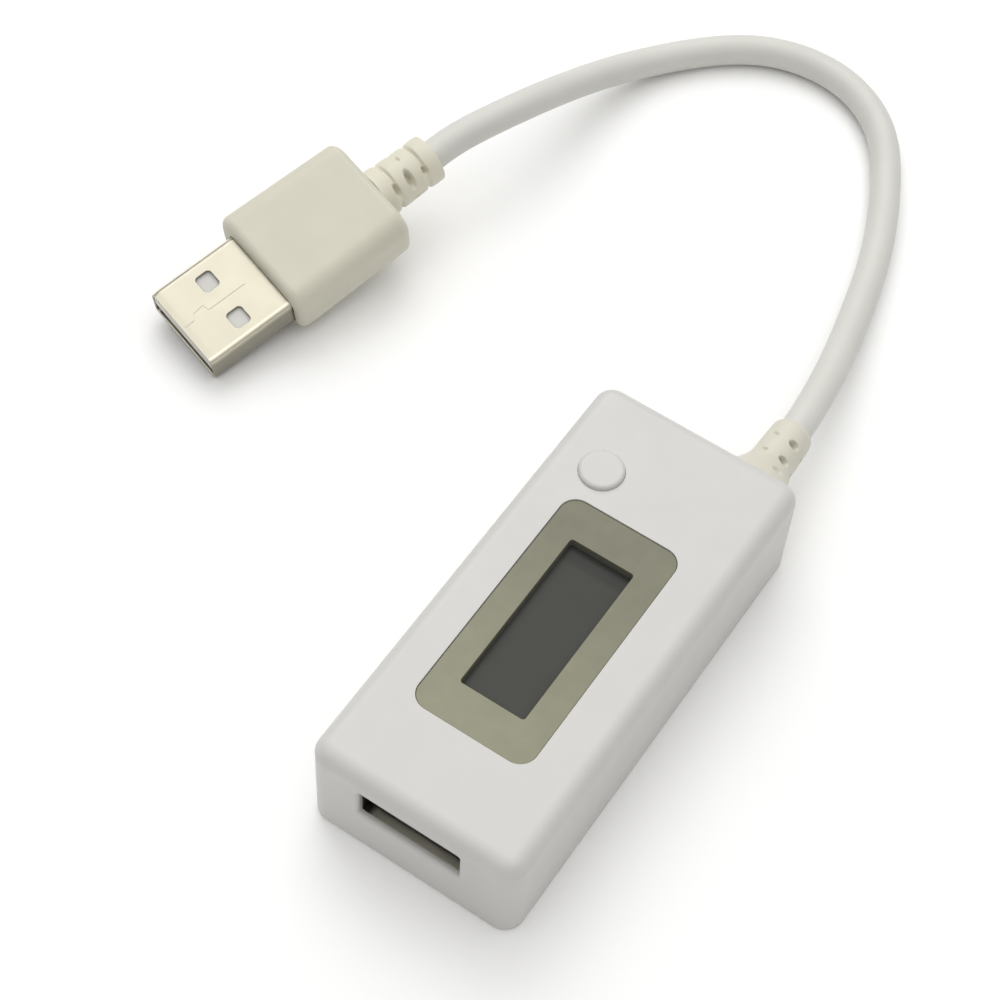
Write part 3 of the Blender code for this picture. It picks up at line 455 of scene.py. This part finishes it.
def mouth_levels(low, face, rounding, steps=5):
    """Levels of a cutter that leaves a rounded edge where it comes out of a face."""
    angles = [math.pi / 2 * i / steps for i in range(steps + 1)]
    curve = [(face + HAIR - rounding * (1 - math.sin(a)), -rounding * (1 - math.cos(a))) for a in angles]
    return [(low, 0.0)] + curve + [(face + MM, -rounding)]


def boxes(name, parts):
    """Several separate boxes in one mesh; each is (centre, size)."""
    bm = bmesh.new()
    for centre, size in parts:
        made = bmesh.ops.create_cube(bm, size=1.0)["verts"]
        bmesh.ops.scale(bm, vec=size, verts=made)
        bmesh.ops.translate(bm, vec=centre, verts=made)
    mesh = bpy.data.meshes.new(name)
    bm.to_mesh(mesh)
    bm.free()
    return add(name, mesh)


def shade(piece, angle=math.radians(32)):
    """Smooth shading between soft edges, with normals that keep the flats flat."""
    piece.data.shade_smooth()
    piece.data.set_sharp_from_angle(angle=angle)
    weighted = piece.modifiers.new("flat_faces", "WEIGHTED_NORMAL")
    weighted.keep_sharp = True
    return piece


def carve(piece, cutters, joined=()):
    """Cuts and joins the tools, and keeps the result as the piece's own mesh."""
    tools = [(tool, "DIFFERENCE") for tool in cutters] + [(tool, "UNION") for tool in joined]
    for tool, operation in tools:
        modifier = piece.modifiers.new(tool.name, "BOOLEAN")
        modifier.operation = operation
        modifier.solver = "EXACT"
        modifier.object = tool
    depsgraph = bpy.context.evaluated_depsgraph_get()
    mesh = bpy.data.meshes.new_from_object(piece.evaluated_get(depsgraph))
    piece.modifiers.clear()
    piece.data = mesh
    for tool, _ in tools:
        bpy.data.objects.remove(tool, do_unlink=True)
    return piece


def finish_piece(piece, body, slot, *nodes):
    shade(piece)
    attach(piece, body)
    if nodes:
        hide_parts(*nodes)
    return piece


# ---------------------------------------------------------------- housing

def moved(x, y, z):
    return Matrix.Translation((x, y, z))


FACING_FRONT = Matrix.Rotation(math.pi / 2, 4, "X")
FACING_BACK = Matrix.Rotation(-math.pi / 2, 4, "X")


def roof_cutters():
    """The display's recess, the room for the glass under it, and the button's hole."""
    recess = upright("recess", rounded_outline(BEZEL_W + 2 * FIT, BEZEL_L + 2 * FIT, BEZEL_R + FIT),
                     mouth_levels(BEZEL_TOP - BEZEL_T - GAP, BODY_H, RECESS_EDGE),
                     Matrix.Translation(FRAME_AT))
    room = upright("glass_room", rounded_outline(GLASS_ROOM_W, GLASS_ROOM_L, GLASS_ROOM_R),
                   [(ROOF_Z - MM, 0.0), (BODY_H, 0.0)], Matrix.Translation(VIEW))
    hole = upright("button_hole", lambda inset: circle(BUTTON_HOLE_R - inset),
                   mouth_levels(ROOF_Z - MM, BODY_H, HAIR), Matrix.Translation(BUTTON))
    return [recess, room, hole]


def front_cutters():
    """The socket's slot, and the pocket behind it for the socket's shell."""
    def outline(inset):
        drop = Vector((0.0, SLOT_DROP * min(inset, 0.0)))
        size = (SLOT_W - 2 * inset, SLOT_H - 2 * inset)
        return [p + drop for p in rounded_rectangle(*size, SLOT_R - inset, 8)]
    slot = upright("slot", outline, mouth_levels(BODY_L / 2 - 2 * WALL, BODY_L / 2, SLOT_EDGE),
                   moved(SLOT_X, 0, SOCKET_Z) @ FACING_FRONT)
    play = 2 * SOCKET_FIT
    pocket = upright("pocket", rounded_outline(SOCKET_W + play, SOCKET_H + play, SOCKET_R + SOCKET_FIT, 8),
                     [(0.0, 0.0), (2 * WALL, 0.0)],
                     moved(0, SOCKET_FRONT - SOCKET_FIT, SOCKET_Z) @ FACING_BACK)
    return [slot, pocket]


def cord_slot():
    """Upright slot with a round upper end, through the rear wall."""
    def outline(inset):
        radius = NECK_R + GAP - inset
        arc = [Vector((radius * math.cos(a), radius * math.sin(a))) for a in
               [math.pi * step / 40 for step in range(41)]]
        return arc + [Vector((-radius, -RELIEF_Z - MM)), Vector((radius, -RELIEF_Z - MM))]
    return upright("cord_slot", outline, [(-3 * MM, 0.0), (3 * MM, 0.0)],
                   moved(RELIEF_X, BODY_L / 2, RELIEF_Z) @ FACING_FRONT)


def make_housing(white):
    """Hollow upper shell with its openings, the notches for the cover's catches and the board's posts."""
    shell = upright("housing_top", rounded_outline(BODY_W, BODY_L, CORNER_R),
                    arc_levels(0.0, BODY_H, FOOT_R, TOP_R), None, white)
    cavity = upright("cavity", rounded_outline(BODY_W - 2 * WALL, BODY_L - 2 * WALL, CAVITY_R),
                     [(-MM, 0.0), (ROOF_Z, 0.0)])
    catch_size = (WALL, CATCH_L + 2 * GAP, 2 * BARB_H)
    catch_x = BODY_W / 2 - WALL
    catches = boxes("catches", [((side * catch_x, y, CATCH_Z), catch_size)
                                for side in (-1, 1) for y in CATCH_Y])
    post_levels = [(POST_LOW, 0.0), (ROOF_Z + POST_SINK, 0.0)]
    posts = [upright(f"post_{i}", lambda inset: circle(POST_R, 32), post_levels, moved(x, y, 0))
             for i, (x, y) in enumerate(POST_SPOTS)]
    carve(shell, [cavity, *roof_cutters(), *front_cutters(), catches, cord_slot()], posts)
    finish_piece(shell, "housing", "housing_plastic", "top_shell")


def make_bezel(material):
    low = BEZEL_TOP - BEZEL_T
    steps = 5
    levels = [(low, 0.0)] + arc_levels(low, BEZEL_TOP, 0.0, BEZEL_EDGE, steps)[steps + 1:]
    bezel = upright("display_frame", rounded_outline(BEZEL_W, BEZEL_L, BEZEL_R, 16), levels,
                    Matrix.Translation(FRAME_AT), material)
    window = upright("window", rounded_outline(WINDOW_W, WINDOW_L, WINDOW_R, 6),
                     mouth_levels(BEZEL_TOP - MM, BEZEL_TOP, BEZEL_EDGE), Matrix.Translation(VIEW))
    carve(bezel, [window])
    finish_piece(bezel, "housing", "bezel_plastic", "display_bezel")


def make_gasket(material):
    """Dark foam ring round the window, between the frame and the glass."""
    outline = rounded_outline(WINDOW_W + 2 * GASKET_W, WINDOW_L + 2 * GASKET_W, WINDOW_R)
    gasket = upright("display_gasket", outline, [(GASKET_LOW, 0.0), (BEZEL_TOP - BEZEL_T - HAIR, 0.0)],
                     Matrix.Translation(VIEW), material)
    opening = upright("opening", rounded_outline(WINDOW_W, WINDOW_L, WINDOW_R, 6),
                      [(GASKET_LOW - MM, 0.0), (BEZEL_TOP, 0.0)], Matrix.Translation(VIEW))
    carve(gasket, [opening])
    finish_piece(gasket, "housing", "elastomer")


def make_button(material):
    profile = [(radius * MM, z * MM) for radius, z in BUTTON_STEM]
    steps = 12
    for step in range(steps + 1):
        a = math.pi / 2 * step / steps
        profile.append((BUTTON_R - BUTTON_CROWN_W * (1 - math.cos(a)),
                        BUTTON_TOP - BUTTON_CROWN_H * (1 - math.sin(a))))
    rings = [[Vector((p.x, p.y, z)) for p in circle(radius)] for radius, z in profile]
    cap = add("push_button", loft("push_button", rings), material, Matrix.Translation(BUTTON))
    finish_piece(cap, "button", "housing_plastic", "button_cap")


# ---------------------------------------------------------------- reliefs

def soft_edge(reach):
    """1 in the middle of an oval pit, falling smoothly to 0 past its edge, where reach is 1."""
    t = min(max((PIT_END - reach) / (PIT_END - PIT_FLAT), 0.0), 1.0)
    return t * t * (3 - 2 * t)


def pit_depth(along, angle, radius, pits):
    """Depth of the moulded pits at a point of a relief; all in millimetres and degrees."""
    depth = 0.0
    for at, first, half_length, half_width, deepest in pits:
        offset = (angle - first + PIT_TURN / 2) % PIT_TURN - PIT_TURN / 2
        across = math.radians(offset) * radius
        reach = math.hypot(across / half_length, (along - at) / half_width)
        depth = max(depth, deepest * soft_edge(reach))
    return depth


def dense_profile(steps, spacing=0.1):
    """Smooth curve of (radius, distance) through the given steps."""
    radii, along = np.array([s[0] for s in steps]), np.array([s[1] for s in steps])
    walk = np.concatenate([[0.0], np.cumsum(np.hypot(np.diff(radii), np.diff(along)))])
    fine = np.linspace(0.0, walk[-1], int(walk[-1] / spacing) + 1)
    radii, along = np.interp(fine, walk, radii), np.interp(fine, walk, along)
    kernel = np.array([1.0, 2.0, 3.0, 2.0, 1.0]) / 9.0
    smooth = [np.concatenate([v[:2], np.convolve(v, kernel, "valid"), v[-2:]]) for v in (radii, along)]
    return list(zip(*smooth))


def relief_rings(steps, pits, hidden=()):
    """Rings of a moulded relief about its own +Z: hidden plain steps first, then a dense part with pits."""
    turns = [math.tau * i / RELIEF_POINTS for i in range(RELIEF_POINTS)]
    rings = []
    for plain, profile in ((True, hidden), (False, dense_profile(steps))):
        for radius, z in profile:
            depths = [0.0 if plain else pit_depth(z, math.degrees(t), radius, pits) for t in turns]
            rings.append([Vector(((radius - d) * math.sin(t), -(radius - d) * math.cos(t), z)) * MM
                          for t, d in zip(turns, depths)])
    return rings


def make_meter_relief(material):
    rings = relief_rings(RELIEF_STEPS, METER_PITS, NECK_STEPS)
    relief = add("housing_relief", loft("housing_relief", rings), material,
                 moved(RELIEF_X, BODY_L / 2, RELIEF_Z) @ FACING_BACK)
    return finish_piece(relief, "housing", "cream_plastic", "meter_strain_relief")


def plug_turn():
    """From the plug's own axes to the frame."""
    turn = (Euler((0, 0, PLUG_HEADING)).to_matrix() @ Euler((PLUG_PITCH, 0, 0)).to_matrix()
            @ Euler((0, PLUG_ROLL, 0)).to_matrix())
    return Matrix.Translation(PLUG_AT) @ turn.to_4x4()


def make_plug_relief(material):
    relief = add("plug_relief", loft("plug_relief", relief_rings(PLUG_RELIEF_STEPS, PLUG_PITS)), material,
                 plug_turn() @ moved(0, GRIP_L + GAP, 0) @ FACING_BACK)
    return finish_piece(relief, "housing", "cream_plastic", "plug_strain_relief")


# ---------------------------------------------------------------- cord

def smooth_route(points, step):
    """Points at even steps along the natural cubic curve through the given points."""
    knots = np.array(points, dtype=float)
    chord = np.linalg.norm(np.diff(knots, axis=0), axis=1)
    at = np.concatenate([[0.0], np.cumsum(chord)])
    count = len(knots)
    system = np.eye(count)
    right = np.zeros((count, 3))
    for i in range(1, count - 1):
        before, after = chord[i - 1], chord[i]
        system[i, i - 1:i + 2] = before, 2 * (before + after), after
        right[i] = 6 * ((knots[i + 1] - knots[i]) / after - (knots[i] - knots[i - 1]) / before)
    bend = np.linalg.solve(system, right)
    route = []
    for t in np.linspace(0.0, at[-1], round(at[-1] / step) + 1):
        i = min(int(np.searchsorted(at, t, side="right")) - 1, count - 2)
        h, a, b = chord[i], at[i + 1] - t, t - at[i]
        curve = (bend[i] * a ** 3 + bend[i + 1] * b ** 3) / (6 * h)
        line = (knots[i] / h - bend[i] * h / 6) * a + (knots[i + 1] / h - bend[i + 1] * h / 6) * b
        route.append(curve + line)
    return route


def make_cord(material):
    """Round cord, from inside the housing's relief to inside the plug's relief."""
    route = [Vector(p) for p in smooth_route([Vector(p) * MM for p in CORD_ROUTE], CORD_STEP)[::-1]]
    into_relief = Vector((0.0, -CORD_TUCK, 0.0))
    points = [route[0] + into_relief, *route, route[-1] + plug_turn().to_3x3() @ into_relief]
    curve = bpy.data.curves.new("cord_run", "CURVE")
    curve.dimensions = "3D"
    curve.bevel_depth = CORD_D / 2
    curve.bevel_resolution = 10
    curve.use_fill_caps = True
    spline = curve.splines.new("POLY")
    spline.points.add(len(points) - 1)
    for point, place_at in zip(spline.points, points):
        point.co = (*place_at, 1.0)
    spline.use_smooth = True
    curve.materials.append(material)
    piece = bpy.data.objects.new("cord_run", curve)
    bpy.context.scene.collection.objects.link(piece)
    length = sum((b - a).length for a, b in zip(points, points[1:]))
    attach(piece, "housing")
    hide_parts("cord")
    return piece, length, points[0]


# ---------------------------------------------------------------- plug

def lengthwise_rings(outline, levels):
    """Rings along the plug's +Y; each level is (y, inset) and the outline is (x, z)."""
    return [[Vector((p.x, y, p.y)) for p in outline(inset)] for y, inset in levels]


def seam_cutter():
    """Cutter along the seam of the rolled shell, with a small dovetail."""
    points = [Vector(p) for p in SEAM]
    left, right = [], []
    for i, p in enumerate(points):
        pairs = zip(points[max(i - 1, 0):i + 1], points[max(i, 1):i + 2])
        steps = [(b - a).normalized() for a, b in pairs]
        normals = [Vector((-d.y, d.x)) for d in steps]
        mitre = sum(normals, Vector((0.0, 0.0))).normalized()
        side = mitre * (SEAM_HALF / max(mitre.dot(normals[0]), 0.4))
        left.append(p + side)
        right.append(p - side)
    top = PLUG_H / 2
    rings = [[Vector((p.x * MM, p.y * MM, z)) for p in left + right[::-1]]
             for z in (top - SEAM_DEPTH, top + MM)]
    return add("seam", loft("seam", rings))


def make_plug_shell(metal):
    """Sheet-metal tube with a rounded lip, two latch holes above and below, and the seam on top."""
    steps = 6
    front = -PLUG_REACH
    rim = SHEET / 2
    levels = [(PLUG_ROOT, 0.0), (front + 1.0 * MM, 0.0), (front + 0.5 * MM, 0.03 * MM),
              (front + rim, NOSE_INSET)]
    levels += [(front + rim * (1 - math.sin(a)), NOSE_INSET + rim * (1 - math.cos(a)))
               for a in [math.pi / 2 * i / steps for i in range(1, steps + 1)]]
    levels += [(front + rim * (1 - math.sin(a)), NOSE_INSET + SHEET - rim * (1 - math.cos(a)))
               for a in [math.pi / 2 * (1 - i / steps) for i in range(1, steps + 1)]]
    levels += [(front + 0.9 * MM, SHEET), (PLUG_ROOT, SHEET)]
    rings = lengthwise_rings(rounded_outline(PLUG_W, PLUG_H, PLUG_R, 10), levels)
    shell = add("plug_sleeve", loft("plug_sleeve", rings, ring_closed=True), metal)
    holes = []
    levels = mouth_levels(0.2 * PLUG_H, PLUG_H / 2, 0.1 * MM)
    for x in LATCH_X:
        for turn in (0.0, math.pi):
            holes.append(upright("latch", rounded_outline(LATCH_W, LATCH_L, LATCH_R, 8), levels,
                                 moved(x, LATCH_Y, 0) @ Matrix.Rotation(turn, 4, "X")))
    carve(shell, [*holes, seam_cutter()])
    shell.data.transform(plug_turn())
    return finish_piece(shell, "housing", "plated_steel", "plug_shell")


def make_plug_grip(material):
    """Moulded grip, a little wider at the shell's end, with a hollow for the shell."""
    rings = []
    for y, inset in arc_levels(0.0, GRIP_L, GRIP_END_R, GRIP_END_R, 8):
        width = GRIP_W + GRIP_TAPER * (0.5 - y / GRIP_L) - 2 * inset
        outline = rounded_rectangle(width, GRIP_H - 2 * inset, GRIP_R - 0.6 * inset, 12)
        rings.append([Vector((p.x, y, p.y)) + GRIP_SHIFT for p in outline])
    grip = add("plug_grip", loft("plug_grip", rings), material)
    outline = rounded_outline(PLUG_W + 2 * SLEEVE_FIT, PLUG_H + 2 * SLEEVE_FIT, PLUG_R + SLEEVE_FIT)
    hollow = lengthwise_rings(outline, [(-MM, 0.0), (PLUG_ROOT + 2 * GAP, 0.0)])
    sleeve = add("sleeve", loft("sleeve", hollow))
    carve(grip, [sleeve])
    grip.data.transform(plug_turn())
    return finish_piece(grip, "housing", "cream_plastic", "plug_overmold")


# ---------------------------------------------------------------- carried-over nodes

def finish_nodes(nodes, finishes):
    """Gives each node the finish of the first prefix that its name starts with."""
    for name, node in nodes.items():
        for prefix, material in finishes:
            if name.startswith(prefix):
                node.data.materials.clear()
                node.data.materials.append(material)
                break


def main():
    bpy.context.scene.view_settings.view_transform = "Standard"
    make_camera()
    make_world()
    make_softbox("key", KEY_AT, KEY_SIZE, KEY_POWER)
    make_floor()

    white = matte("white_plastic", (0.595, 0.588, 0.568), 0.42, tone=0.012)
    sleeve = soft_pvc("sleeve_pvc", (0.70, 0.672, 0.56))
    cuff = soft_pvc("cuff_pvc", (0.64, 0.622, 0.535))
    cream = soft_pvc("cream_plastic", (0.615, 0.595, 0.497))
    olive = matte("bezel_olive", (0.204, 0.2, 0.132), 0.42, tone=0.06, blotch=0.004)
    # painted shading along the flat display frame: lighter at the socket's end, darker at the button's end
    tint(olive, object_y, VIEW.y - BEZEL_L / 2, VIEW.y + BEZEL_L / 2, BEZEL_NEAR_LIGHT, BEZEL_FAR_SHADE)
    jacket = soft_pvc("cord_jacket_pvc", (0.63, 0.625, 0.59), 0.015)
    nickel = matte("nickel", (0.47, 0.445, 0.365), 0.3, tone=0.03, blotch=0.003, relief=0.0, metallic=1.0)
    # painted reflections on the plug's shell, by which way it faces: shade on its sides and underneath, a
    # highlight along its rounded edges
    tint(nickel, normal_z, *SHELL_SIDE_FACING, SHELL_SIDE_SHADE, SHELL_EDGE_HIGHLIGHT)
    tint(nickel, normal_z, *SHELL_TOP_FACING, 1.0, 1.0 / SHELL_EDGE_HIGHLIGHT)
    tin = matte("tin", (0.72, 0.70, 0.60), 0.45, tone=0.05, blotch=0.002, metallic=1.0)
    # painted shade inside the socket: lighter at its mouth, darker further in and at its left end
    tint(tin, object_y, *(SOCKET_FRONT + depth for depth in SOCKET_DEPTHS), SOCKET_MOUTH_LIGHT, SOCKET_DEEP_SHADE)
    tint(tin, object_x, *SOCKET_SHADE_X, SOCKET_SHADE, 1.0)
    gold = matte("gold", (0.80, 0.60, 0.28), 0.28, tone=0.04, blotch=0.002, metallic=1.0)
    black = dull(matte("black_nylon", (0.014, 0.014, 0.014), 0.6, tone=0.15, blotch=0.002), 0.25)
    natural = matte("natural_nylon", (0.62, 0.61, 0.58), 0.45, tone=0.02, blotch=0.003)
    rubber = matte("zebra_rubber", (0.6, 0.42, 0.34), 0.7, tone=0.1, blotch=0.0006)
    foam = dull(matte("gasket_foam", (0.15, 0.15, 0.135), 0.8, tone=0.06, blotch=0.0008), 0.2)
    glass = matte("display_glass_body", (0.30, 0.34, 0.32), 0.12, tone=0.03, blotch=0.01, relief=0.000001)
    laminate = matte("laminate", (0.02, 0.15, 0.06), 0.4, tone=0.2, blotch=0.0012)
    ceramic = matte("fired_ceramic", (0.42, 0.33, 0.24), 0.5, tone=0.08, blotch=0.001)
    screen = display_face("display_screen")
    leads = {name: matte("lead_jacket_" + name, color, 0.5, tone=0.05, blotch=0.002) for name, color in
             {"red": (0.6, 0.03, 0.03), "white": (0.75, 0.75, 0.74), "green": (0.03, 0.33, 0.08),
              "black": (0.02, 0.02, 0.02)}.items()}

    make_housing(white)
    make_bezel(olive)
    make_gasket(foam)
    make_button(white)
    meter_relief = make_meter_relief(cuff)
    plug_relief = make_plug_relief(sleeve)
    cord, length, start = make_cord(jacket)
    shell = make_plug_shell(nickel)
    grip = make_plug_grip(cream)

    finish_nodes(frame["nodes"], [
        ("bottom_cover", white), ("lcd_front_polarizer", screen), ("lcd_reflector", screen),
        ("lcd_holder", natural), ("lcd_elastomer", rubber), ("lcd_", glass),
        ("switch_dome", nickel), ("switch_cover", nickel), ("switch_", black),
        ("circuit_board", laminate), ("controller_chip", black), ("memory_chip", black),
        ("voltage_regulator", black), ("shunt_resistor", ceramic), ("input_capacitor", ceramic),
        ("output_capacitor", ceramic),
        ("receptacle_shell", tin), ("receptacle_insulator", black), ("receptacle_contact", gold),
        ("plug_insulator", natural), ("plug_inner_mould", natural), ("plug_contact", gold),
        *[("lead_" + name, material) for name, material in leads.items()]])


main()
